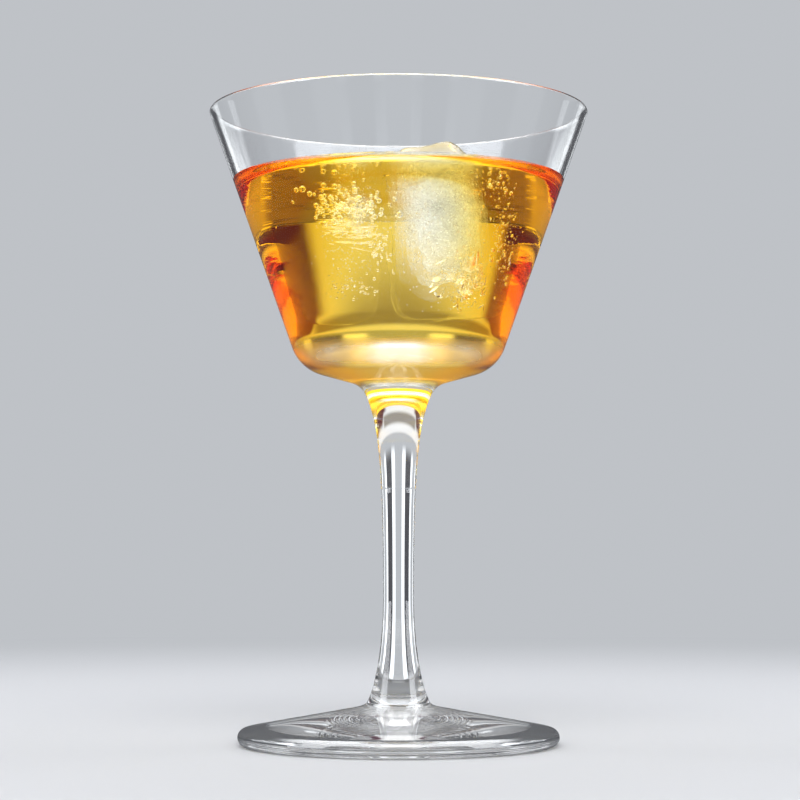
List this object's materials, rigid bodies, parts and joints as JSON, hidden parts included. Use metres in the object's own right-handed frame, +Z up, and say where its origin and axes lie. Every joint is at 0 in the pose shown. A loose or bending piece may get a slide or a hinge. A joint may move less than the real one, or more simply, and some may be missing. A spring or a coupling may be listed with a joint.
{
  "type": "coupe glass",
  "caption": "Stemmed coupe with a straight flared bowl, slim drawn stem and round foot, holding an amber drink with loose ice.",
  "frame": {"origin": "centre of the ring that the foot rests on", "axes": "+Z up along the stem to the rim, +X to the right and -Y towards the viewer of the picture"},
  "size_m": [0.09, 0.09, 0.15],
  "materials": {
    "glass": "polished",
    "drink": "polished",
    "ice": "gloss"
  },
  "bodies": {
    "glass": {"foot": "glass", "lower_stem": "glass", "upper_stem": "glass", "bowl": "glass", "drink": "drink"},
    "large_ice": {"large_ice_block": "ice"},
    "small_ice": {"small_ice_block": "ice"}
  },
  "joints": [
    {"name": "large_ice_lift", "type": "slide", "parent": "glass", "child": "large_ice", "axis": [0, 0, 1], "range_m": [0, 0.054], "deforming": ["drink"]},
    {"name": "small_ice_lift", "type": "slide", "parent": "glass", "child": "small_ice", "axis": [0, 0, 1], "range_m": [0, 0.054], "deforming": ["drink"]}
  ]
}
